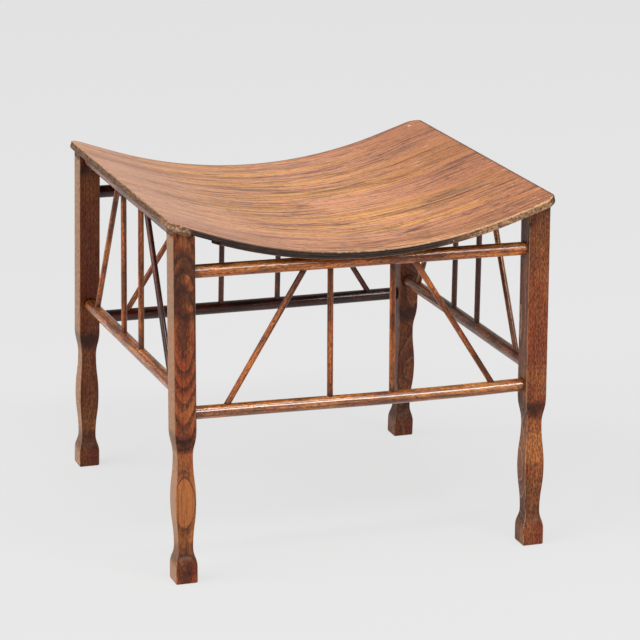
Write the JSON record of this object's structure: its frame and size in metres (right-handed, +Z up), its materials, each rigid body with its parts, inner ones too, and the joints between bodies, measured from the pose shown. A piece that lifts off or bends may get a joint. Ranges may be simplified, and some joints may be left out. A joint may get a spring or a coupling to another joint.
{
  "type": "saddle seat stool",
  "caption": "Square wooden stool with a concave bent plywood seat on sawn-curved legs, joined by round stretchers and rails with raking and upright spindles on all sides.",
  "frame": {"origin": "on the floor under the middle of the seat", "axes": "+X along the front from left to right, the way the seat curves; +Y from the front to the back; +Z up"},
  "size_m": [0.434, 0.422, 0.3917],
  "materials": {
    "leg_wood": "dark red-brown stained oak, worn satin polish",
    "rod_wood": "golden brown stained rod, glossy worn polish",
    "spindle_wood": "red-brown stained thin rod, glossy worn polish",
    "seat_veneer": "orange-brown open-grain veneer on plywood, satin",
    "nail_metal": "worn bright steel"
  },
  "bodies": {
    "root": {"front_left_leg": "leg_wood", "front_right_leg": "leg_wood", "back_left_leg": "leg_wood", "back_right_leg": "leg_wood", "front_lower_stretcher": "rod_wood", "back_lower_stretcher": "rod_wood", "left_lower_stretcher": "rod_wood", "right_lower_stretcher": "rod_wood", "front_upper_stretcher": "rod_wood", "back_upper_stretcher": "rod_wood", "left_seat_rail": "rod_wood", "right_seat_rail": "rod_wood", "front_spindle_1": "spindle_wood", "front_spindle_2": "spindle_wood", "front_spindle_3": "spindle_wood", "front_spindle_4": "spindle_wood", "back_spindle_1": "spindle_wood", "back_spindle_2": "spindle_wood", "back_spindle_3": "spindle_wood", "back_spindle_4": "spindle_wood", "left_spindle_1": "spindle_wood", "left_spindle_2": "spindle_wood", "left_spindle_3": "spindle_wood", "left_spindle_4": "spindle_wood", "right_spindle_1": "spindle_wood", "right_spindle_2": "spindle_wood", "right_spindle_3": "spindle_wood", "right_spindle_4": "spindle_wood", "saddle_seat": "seat_veneer", "seat_nails": "nail_metal"}
  },
  "joints": []
}
